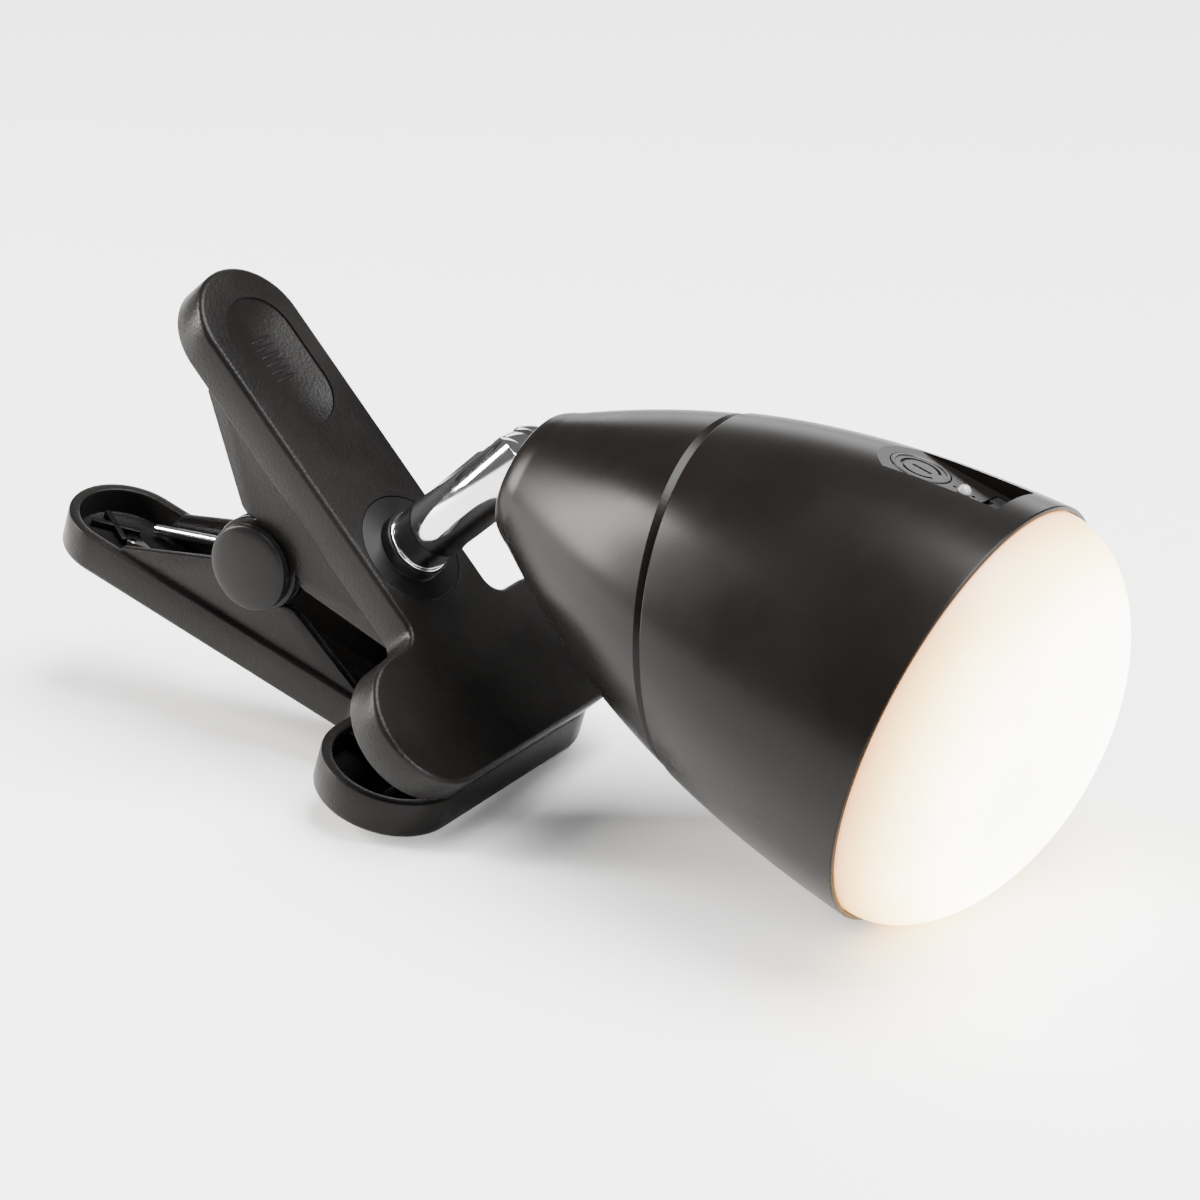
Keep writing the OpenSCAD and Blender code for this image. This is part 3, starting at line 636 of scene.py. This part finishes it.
def lever_tray(bm, w, outer_holes, inner_holes):
    """Plate with a rim round it, its outer edge well rounded."""
    soft = 0.35
    low = -RIM_H
    outside = [(d, -z) for d, z in round_steps(EDGE_ROUND)]
    profile = [(RIM_T, low + soft), (RIM_T - soft * 0.3, low + soft * 0.3), (RIM_T - soft, low),
               (soft, low), (soft * 0.3, low + soft * 0.3), (0, low + soft)]
    profile += outside
    inside = [(RIM_T, -PLATE_T - 0.8), (RIM_T + 0.25, -PLATE_T - 0.25), (RIM_T + 0.8, -PLATE_T)]
    rings = [ring(bm, lift(lever_plan(w, d), z)) for d, z in profile]
    for a, b in zip(rings, rings[1:]):
        bridge(bm, a, b)
    inner = [rings[0]] + [ring(bm, lift(lever_plan(w, d), z)) for d, z in inside]
    for a, b in zip(inner, inner[1:]):
        bridge(bm, a, b)
    fill_with_holes(bm, rings[-1], outer_holes)
    fill_with_holes(bm, inner[-1], inner_holes)


def lever_ribs(bm, w):
    """Stiffening ribs under the plate."""
    rib, deep = 1.2, RIM_H - 1.2
    jaw_mid, jaw_off = LEVER_LEN - JAW_D / 2, JAW_W / 2 - JAW_D / 2
    half = w / 2 - RIM_T / 2
    bars = []
    for s in (-1, 1):
        for y in (s * (jaw_off - 2), s * 8):
            bars.append(((jaw_mid - JAW_D / 2 + 1, y - rib / 2), (jaw_mid + JAW_D / 2 - 1, y + rib / 2)))
    bars.append(((jaw_mid + 3, -jaw_off - 6), (jaw_mid + 3 + rib, jaw_off + 6)))
    bars.append(((62, -half), (62 + rib, half)))
    for (x0, y0), (x1, y1) in bars:
        verts = box_mesh(bm, (x0, y0, -deep), (x1, y1, -PLATE_T + 0.3))
        bevel_all(bm, verts, 0.2)


def swivel_seat(bm):
    """Stepped hole that the swivel disc turns in; returns its rings in the two faces."""
    foot = -PLATE_T - SEAT_T
    levels = [(DISC_HOLE_R, 0), (DISC_HOLE_R, -PLATE_T), (STUD_HOLE_R, -PLATE_T), (STUD_HOLE_R, foot),
              (SEAT_R - SEAT_BEVEL, foot), (SEAT_R, foot + SEAT_BEVEL), (SEAT_R, -PLATE_T)]
    steps = 72
    last_angle = 360 * (steps - 1) / steps
    rings = [ring(bm, lift(arc(SWIVEL_X, 0, r, 0, last_angle, steps - 1), z)) for r, z in levels]
    for a, b in zip(rings, rings[1:]):
        bridge(bm, a, b)
    return rings[0], rings[-1]


def build_upper_lever():
    bm = bmesh.new()
    top, under = swivel_seat(bm)
    bowl = thumb_bowl(bm)
    lever_tray(bm, UPPER_W, [top, bowl], [under])
    thumb_ridges(bm)
    lever_ribs(bm, UPPER_W)
    for s in (-1, 1):
        web(bm, UPPER_WEB_Y, s)
    obj = finish_mesh(bm, "upper_lever_moulding", UPPER, "upper", ["upper_lever"], MATERIALS["lever_black"])
    return obj


def build_lower_lever():
    bm = bmesh.new()
    outer, inner = [], []
    for x, y in CUT_OUTS:
        back, tip = x - CUT_HALF_LEN, x + CUT_HALF_LEN
        corners = [(back, y - CUT_HALF_W), (tip, y), (back, y + CUT_HALF_W)]
        a, b = ring(bm, lift(corners, 0)), ring(bm, lift(corners, -PLATE_T))
        bridge(bm, a, b)
        outer.append(a)
        inner.append(b)
    lever_tray(bm, LOWER_W, outer, inner)
    lever_ribs(bm, LOWER_W)
    for angle in (-RIB_CROSS, RIB_CROSS):
        verts = box_mesh(bm, (-RIB_LEN / 2, -RIB_HALF_T, RIB_LOW), (RIB_LEN / 2, RIB_HALF_T, RIB_HIGH))
        turn = Matrix.Translation((*RIB_CENTRE, -PLATE_T)) @ Matrix.Rotation(math.radians(angle), 4, "Z")
        bmesh.ops.transform(bm, matrix=turn, verts=verts)
        bevel_all(bm, verts, 0.15)
    for s in (-1, 1):
        web(bm, LOWER_WEB_Y, s)
    obj = finish_mesh(bm, "lower_lever_moulding", LOWER, "lower", ["lower_lever"], MATERIALS["lever_black"])
    return obj


def build_pivot_caps():
    """Low domed caps with a rounded edge, one on each end of the pin."""
    for name, side in (("pivot_cap_near", -1), ("pivot_cap_far", 1)):
        foot = [(CAP_BORE_R, CAP_BORE_DEEP), (CAP_BORE_R, 0), (CAP_FOOT_R, 0), (CAP_FOOT_R, 0.35)]
        profile = rounded(foot + [(CAP_R, 0.35), (CAP_R, CAP_SIDE_H)], 0.12)
        for degrees in range(6, 90, 6):
            a = math.radians(degrees)
            profile.append((CAP_R * math.cos(a), CAP_SIDE_H + CAP_CROWN_H * math.sin(a)))
        profile.append((0, CAP_SIDE_H + CAP_CROWN_H))
        bm = bmesh.new()
        revolve(bm, profile, "Y", 96)
        for v in bm.verts:
            v.co.y = side * (v.co.y + CAP_Y)
        obj = finish_mesh(bm, name + "_dome", CLIP, "lower", [name], MATERIALS["cap_black"], 50)


# ---------- closing spring ----------

def spring_leg_points(y):
    """Free end and tangent point of a leg, in a lever's frame."""
    dx, dz = PIVOT_X - LEG_X, -PIVOT_DROP - LEG_Z
    dist = math.hypot(dx, dz)
    down = -math.atan2(dz, dx) - math.asin(COIL_R / dist)
    run = math.sqrt(dist * dist - COIL_R * COIL_R)
    free = Vector((LEG_X, y, LEG_Z))
    return free, free + run * Vector((math.cos(down), 0, -math.sin(down)))


def build_spring():
    """Helical coil and the leg that lies on the lower lever, one piece of wire."""
    pitch = 2 * WIRE_R - 0.06
    y_high = COIL_Y + (COIL_TURNS - 1) * WIRE_R
    free, touch = (LOWER @ p for p in spring_leg_points(y_high))
    centre = CLIP.to_translation()
    start = touch - centre
    a0 = math.atan2(start.z, start.x)
    heading = (touch - free).normalized()
    spin = 1 if heading.dot(Vector((-math.sin(a0), 0, math.cos(a0)))) > 0 else -1
    per_turn = 40
    steps = round(per_turn * WIRE_TURNS)
    points = [free, free.lerp(touch, 0.33), free.lerp(touch, 0.66)]
    for i in range(steps + 1):
        a = a0 + spin * 2 * math.pi * i / per_turn
        turn = Vector((COIL_R * math.cos(a), y_high - pitch * i / per_turn, COIL_R * math.sin(a)))
        points.append(centre + turn * MM)
    back = CLIP.inverted()
    bm = bmesh.new()
    sweep(bm, [back @ p for p in points], WIRE_R, 20)
    obj = finish_mesh(bm, "spring_wire", CLIP, "lower", ["spring_coil"], MATERIALS["spring_steel"], 60)


# ---------- lamp head ----------

def bezier(curve, t):
    k = ((1 - t) ** 3, 3 * t * (1 - t) ** 2, 3 * t * t * (1 - t), t ** 3)
    return (sum(a * p[0] for a, p in zip(k, curve)), sum(a * p[1] for a, p in zip(k, curve)))


OUTLINE = [bezier(NOSE_CURVE, i / 12) for i in range(12)]
OUTLINE += [bezier(SIDE_CURVE, i / 200) for i in range(201)]


def radius_at(x):
    for (r0, x0), (r1, x1) in zip(OUTLINE, OUTLINE[1:]):
        if x0 <= x <= x1:
            return r0 + (r1 - r0) * (x - x0) / max(x1 - x0, 1e-9)
    return OUTLINE[0][0] if x < OUTLINE[0][1] else OUTLINE[-1][0]


def seam_cut(angle, offset, shift):
    """X at which the outline, made smaller by shift, meets the seam plane moved by offset, at an angle."""
    up = math.sin(angle)
    low, high = OUTLINE[0][1], HEAD_LEN
    for _ in range(40):
        mid = (low + high) / 2
        along = (mid - SEAM_X) * math.cos(SEAM_TILT)
        across = (radius_at(mid) - shift) * up * math.sin(SEAM_TILT)
        low, high = (low, mid) if along + across > offset else (mid, high)
    return (low + high) / 2


AROUND = 192
ANGLES = [2 * math.pi * i / AROUND for i in range(AROUND)]


def skin_ring(bm, xs, shift):
    """One ring of points on the outline made smaller by shift, at an X for each angle."""
    out = []
    for a, x in zip(ANGLES, xs):
        r = radius_at(x) - shift
        out.append(bm.verts.new((x, r * math.cos(a), r * math.sin(a))))
    return out


def share(near, far, t):
    return [n + (f - n) * t for n, f in zip(near, far)]


def skin_normals(obj, shift):
    """Sets exact normals on the outer skin, so that reflections run smoothly past every cut."""
    mesh = obj.data
    back = HEAD.inverted()
    turn = HEAD.to_3x3().normalized()
    normals = [None] * len(mesh.loops)
    for poly in mesh.polygons:
        local = back @ poly.center
        flat = turn.transposed() @ poly.normal
        r = math.hypot(local.y, local.z)
        slope = (radius_at(local.x + 0.4) - radius_at(local.x - 0.4)) / 0.8
        out = Vector((-slope, local.y / max(r, 1e-6), local.z / max(r, 1e-6))).normalized()
        on_skin = abs(r - (radius_at(local.x) - shift)) < 0.12 and out.dot(flat) > 0.97 and local.x > 1.5
        for k in poly.loop_indices:
            p = back @ mesh.vertices[mesh.loops[k].vertex_index].co
            if on_skin:
                rp = math.hypot(p.y, p.z)
                s = (radius_at(p.x + 0.4) - radius_at(p.x - 0.4)) / 0.8
                n = Vector((-s, p.y / rp, p.z / rp)).normalized()
                normals[k] = turn @ n
            else:
                normals[k] = poly.normal.copy()
    mesh.normals_split_custom_set(normals)


def build_rear_shell():
    """Rounded nose with a dished end; its front edge is stepped in under the seam."""
    bm = bmesh.new()
    seam = [seam_cut(a, -SEAM_GROOVE / 2, SHELL_STEP) for a in ANGLES]
    inner_seam = [seam_cut(a, -SEAM_GROOVE / 2, WALL) for a in ANGLES]
    nose = [(STUD_HOLE_R, FLOOR_X), (STUD_HOLE_R, DISH_X), (DISH_R - 1, DISH_X), (DISH_R, 0.6)]
    rings = []
    for r, x in rounded(nose, 0.4):
        rings.append(ring(bm, [(x, r * math.cos(a), r * math.sin(a)) for a in ANGLES]))
    for k in range(0, 10):
        r, x = bezier(NOSE_CURVE, k / 10)
        rings.append(ring(bm, [(x, (r - SHELL_STEP) * math.cos(a), (r - SHELL_STEP) * math.sin(a))
                               for a in ANGLES]))
    nose_end = [NOSE_CURVE[-1][1]] * AROUND
    lip, crowding = 1.3, 1.3
    for k in range(0, 61):
        t = (k / 60) ** crowding
        rings.append(skin_ring(bm, share(nose_end, [s - lip for s in seam], t), SHELL_STEP))
    rings.append(skin_ring(bm, [s - lip * 0.9 for s in seam], SHELL_STEP + 0.03))
    rings.append(skin_ring(bm, seam, SHELL_STEP + SEAM_DEEP))
    rings.append(skin_ring(bm, inner_seam, WALL))
    floor = [FLOOR_X] * AROUND
    for k in range(12, -1, -1):
        rings.append(skin_ring(bm, share(floor, inner_seam, k / 12), WALL))
    for a, b in zip(rings, rings[1:]):
        bridge(bm, a, b)
    bridge(bm, rings[-1], rings[0])
    behind, ahead = -2.5, 3.0
    outer, inner = WALL + 0.1, WALL + 1.2
    band_back = [seam_cut(a, behind, WALL) for a in ANGLES]
    band_front = [seam_cut(a, ahead, WALL) for a in ANGLES]
    band = [skin_ring(bm, band_back, outer), skin_ring(bm, band_front, outer),
            skin_ring(bm, band_front, inner), skin_ring(bm, band_back, inner)]
    for i in range(4):
        bridge(bm, band[i], band[(i + 1) % 4])
    obj = finish_mesh(bm, "rear_shell_moulding", HEAD, "head", ["rear_shell"], MATERIALS["shell_black"])
    skin_normals(obj, SHELL_STEP)


def panel_plan(extra):
    """Outline of the recessed panel, round at its rear end."""
    half = PANEL_HALF + extra
    x = PANEL_X0 + PANEL_HALF
    return arc(x, 0, half, 90, 270, 24) + [(PANEL_X1 + extra * 0.5, -half), (PANEL_X1 + extra * 0.5, half)]


def prism(bm, plan, z0, z1):
    """Solid with one outline all the way from z0 to z1."""
    a, b = ring(bm, lift(plan, z0)), ring(bm, lift(plan, z1))
    bridge(bm, a, b)
    bm.faces.new(a)
    bm.faces.new(b)


def square_plan(x0, x1, half, corner=0.5):
    """Outline of a rectangle with rounded corners."""
    plan = []
    for cx, cy, a in ((x1 - corner, half - corner, 0), (x0 + corner, half - corner, 90),
                      (x0 + corner, -half + corner, 180), (x1 - corner, -half + corner, 270)):
        plan += arc(cx, cy, corner, a, a + 90, 5)
    return plan


def cutter(build):
    """Short-lived solid in the head's frame, used up by apply_boolean."""
    bm = bmesh.new()
    build(bm)
    bm.transform(HEAD)
    bmesh.ops.recalc_face_normals(bm, faces=bm.faces)
    mesh = bpy.data.meshes.new("cutter")
    bm.to_mesh(mesh)
    bm.free()
    obj = bpy.data.objects.new("cutter", mesh)
    bpy.context.scene.collection.objects.link(obj)
    return obj


def apply_boolean(obj, tool, operation):
    """Cuts, joins or intersects obj with the tool, then deletes the tool."""
    mod = obj.modifiers.new("cut", "BOOLEAN")
    mod.operation = operation
    mod.object = tool
    mod.solver = "EXACT"
    deps = bpy.context.evaluated_depsgraph_get()
    made = bpy.data.meshes.new_from_object(obj.evaluated_get(deps))
    obj.modifiers.remove(mod)
    old = obj.data
    name = old.name
    obj.data = made
    bpy.data.meshes.remove(old)
    made.name = name
    spent = tool.data
    bpy.data.objects.remove(tool)
    bpy.data.meshes.remove(spent)


def build_front_shell():
    """Main shell of the head, slightly proud at the seam, with the recessed control panel."""
    bm = bmesh.new()
    seam = [seam_cut(a, -SEAM_GROOVE / 2 + SEAM_GAP, 0) for a in ANGLES]
    inner_seam = [seam_cut(a, -SEAM_GROOVE / 2 + SEAM_GAP, WALL) for a in ANGLES]
    lip = 0.25
    rim_soft = 0.35
    rim = [HEAD_LEN - rim_soft] * AROUND
    rings = [skin_ring(bm, inner_seam, WALL), skin_ring(bm, seam, lip),
             skin_ring(bm, [s + lip * 0.35 for s in seam], lip * 0.3)]
    for k in range(0, 49):
        rings.append(skin_ring(bm, share([s + lip for s in seam], rim, k / 48), 0))
    rings.append(skin_ring(bm, [HEAD_LEN - rim_soft * 0.3] * AROUND, rim_soft * 0.3))
    rings.append(skin_ring(bm, [HEAD_LEN] * AROUND, rim_soft))
    lens_seat = LENS_R + 0.2
    for x in (HEAD_LEN, LENS_X - 0.1):
        rings.append(ring(bm, [(x, lens_seat * math.cos(a), lens_seat * math.sin(a)) for a in ANGLES]))
    seat = [LENS_X - 0.1] * AROUND
    for k in range(12, 0, -1):
        rings.append(skin_ring(bm, share(inner_seam, seat, k / 12), WALL))
    for a, b in zip(rings, rings[1:]):
        bridge(bm, a, b)
    bridge(bm, rings[-1], rings[0])
    obj = finish_mesh(bm, "front_shell_moulding", HEAD, "head", ["front_shell"], MATERIALS["shell_black"])

    def pad(bm):
        prism(bm, panel_plan(2.6), PAD_Z, PAD_Z + 8)

    def inside(bm):
        end = CARRIER_X - 0.2
        profile = [(0, OUTLINE[0][1])]
        profile += [(r - WALL / 2, x) for r, x in OUTLINE[::6] if x < end]
        profile += [(radius_at(end) - WALL / 2, end), (0, end)]
        revolve(bm, profile, "X", 96)

    pad_piece = cutter(pad)
    apply_boolean(pad_piece, cutter(inside), "INTERSECT")
    apply_boolean(obj, pad_piece, "UNION")

    def recess(bm):
        prism(bm, panel_plan(0), PANEL_Z, PANEL_Z + 9)

    def button_hole(bm):
        prism(bm, arc(BUTTON_X, 0, BUTTON_R + 0.15, 0, 352.5, 47), 20, 40)

    def lamp_hole(bm):
        prism(bm, arc(LAMP_X, 0, LAMP_R, 0, 345, 23), 20, 40)

    def notches(bm):
        for s in (-1, 1):
            prism(bm, arc(LAMP_X + s * 1.6, 0, 0.32, 0, 330, 11), PANEL_Z - 0.35, PANEL_Z + 3)

    def pocket(bm):
        prism(bm, square_plan(PORT_X0, PANEL_X1, PORT_HALF), PANEL_Z - PORT_DEPTH, PANEL_Z + 5)

    def socket(bm):
        mid = (PORT_X0 + PANEL_X1) / 2
        prism(bm, square_plan(mid - SOCKET_W / 2, mid + SOCKET_W / 2, SOCKET_HALF, 0.4), 20, 40)

    for build in (recess, button_hole, lamp_hole, notches, pocket, socket):
        apply_boolean(obj, cutter(build), "DIFFERENCE")
    skin_normals(obj, 0)


def build_diffuser():
    """Opal dome, an ellipse in section, with its height above the rim kept for the glow."""
    bm = bmesh.new()
    steps = 48
    angles = [math.pi / 2 * i / steps for i in range(steps)]
    inner_r, inner_h = LENS_R - LENS_T, DOME_H - LENS_T
    outside = [(LENS_R * math.cos(a), HEAD_LEN + DOME_H * math.sin(a)) for a in angles]
    inside = [(inner_r * math.cos(a), HEAD_LEN + inner_h * math.sin(a)) for a in reversed(angles)]
    profile = [(0, HEAD_LEN + inner_h)] + inside + [(inner_r, LENS_X), (LENS_R, LENS_X)] + outside
    profile.append((0, HEAD_LEN + DOME_H))
    revolve(bm, profile, "X", AROUND)
    obj = finish_mesh(bm, "diffuser_dome", HEAD, "head", ["diffuser"], MATERIALS["opal"], 50)
    back = HEAD.inverted()
    data = obj.data.attributes.new("from_rim", "FLOAT", "POINT").data
    for item, v in zip(data, obj.data.vertices):
        item.value = max(0.0, ((back @ v.co).x - HEAD_LEN) / DOME_H)


def build_button():
    """Round button with a bevelled edge and an engraved ring and bar."""
    low = PAD_Z - 1
    top = PANEL_Z + 0.1
    profile = rounded([(BUTTON_R + 0.9, low), (BUTTON_R + 0.9, low + 0.7), (BUTTON_R, low + 0.7),
                       (BUTTON_R, top), (BUTTON_R - 0.6, top)], 0.18)
    bm = bmesh.new()
    revolve(bm, [(0, low)] + profile + [(BUTTON_R - 0.75, top - 0.12), (0, top - 0.12)], "Z", 96)
    for v in bm.verts:
        v.co.x += BUTTON_X
    black = MATERIALS["button_black"]
    obj = finish_mesh(bm, "power_button_cap", HEAD, "button", ["power_button"], black, 30)

    def engraved_ring(bm):
        outer = arc(BUTTON_X, 0, 3.15, 25, 335, 60)
        inner = arc(BUTTON_X, 0, 2.6, 335, 25, 60)
        prism(bm, outer + inner, top - 0.4, top + 1)

    def bar(bm):
        prism(bm, stadium(0, 3.4, 0.3, 0, 8), top - 0.4, top + 1)
        for v in bm.verts:
            v.co.x += BUTTON_X + 0.2

    for build in (engraved_ring, bar):
        apply_boolean(obj, cutter(build), "DIFFERENCE")
    obj.data.shade_smooth()
    obj.data.set_sharp_from_angle(angle=math.radians(30))


# ---------- studio ----------

def direction(azimuth, elevation):
    """Unit vector from the lamp towards a place at that azimuth and elevation, in degrees."""
    a, e = math.radians(azimuth), math.radians(elevation)
    return Vector((math.sin(a) * math.cos(e), -math.cos(a) * math.cos(e), math.sin(e)))


def build_floor():
    low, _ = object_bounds()
    bm = bmesh.new()
    bmesh.ops.create_grid(bm, x_segments=1, y_segments=1, size=6)
    mesh = bpy.data.meshes.new("floor")
    bm.to_mesh(mesh)
    bm.free()
    obj = bpy.data.objects.new("floor", mesh)
    obj.location.z = low.z - 0.0002
    bpy.context.scene.collection.objects.link(obj)
    mat, _, shader = new_material("floor")
    shader.inputs["Base Color"].default_value = (0.93, 0.93, 0.93, 1)
    shader.inputs["Roughness"].default_value = 0.7
    shader.inputs["Specular IOR Level"].default_value = 0.2
    mesh.materials.append(mat)


def area_light(name, azimuth, elevation, distance, size, watts, color=WHITE):
    """Soft light aimed at the lamp; azimuth as for the camera."""
    back = direction(azimuth, elevation)
    data = bpy.data.lights.new(name, "AREA")
    data.shape = "RECTANGLE"
    data.size, data.size_y = size
    data.energy = watts
    data.color = color
    obj = bpy.data.objects.new(name, data)
    obj.location = CAMERA_AIM + back * distance
    obj.rotation_mode = "QUATERNION"
    obj.rotation_quaternion = back.to_track_quat("Z", "Y")
    bpy.context.scene.collection.objects.link(obj)


def build_world():
    world = bpy.data.worlds.new("studio")
    world.use_nodes = True
    world.node_tree.nodes["Background"].inputs["Color"].default_value = (1, 1, 1, 1)
    world.node_tree.nodes["Background"].inputs["Strength"].default_value = WORLD_STRENGTH
    bpy.context.scene.world = world


def build_camera():
    back = direction(CAMERA_AZIMUTH, CAMERA_ELEVATION)
    data = bpy.data.cameras.new("camera")
    data.lens = CAMERA_LENS
    data.sensor_width = 36
    data.clip_start, data.clip_end = 0.01, 50
    obj = bpy.data.objects.new("camera", data)
    obj.location = CAMERA_AIM + back * CAMERA_DISTANCE
    obj.rotation_mode = "QUATERNION"
    roll = Matrix.Rotation(math.radians(CAMERA_ROLL), 4, "Z").to_quaternion()
    obj.rotation_quaternion = (-back).to_track_quat("-Z", "Y") @ roll
    bpy.context.scene.collection.objects.link(obj)
    bpy.context.scene.camera = obj


dress_cad_nodes()
build_upper_lever()
build_lower_lever()
build_pivot_caps()
build_spring()
build_rear_shell()
build_front_shell()
build_diffuser()
build_button()
build_floor()
build_world()
build_camera()
area_light("left", azimuth=-66, elevation=24, distance=0.7, size=(0.14, 0.5), watts=16, color=WARM_WHITE)
area_light("top", azimuth=115, elevation=70, distance=1.0, size=(0.7, 0.7), watts=44)
area_light("behind", azimuth=-155, elevation=14, distance=1.0, size=(0.7, 0.3), watts=2.4)
area_light("right", azimuth=76, elevation=16, distance=0.9, size=(0.4, 0.4), watts=16)
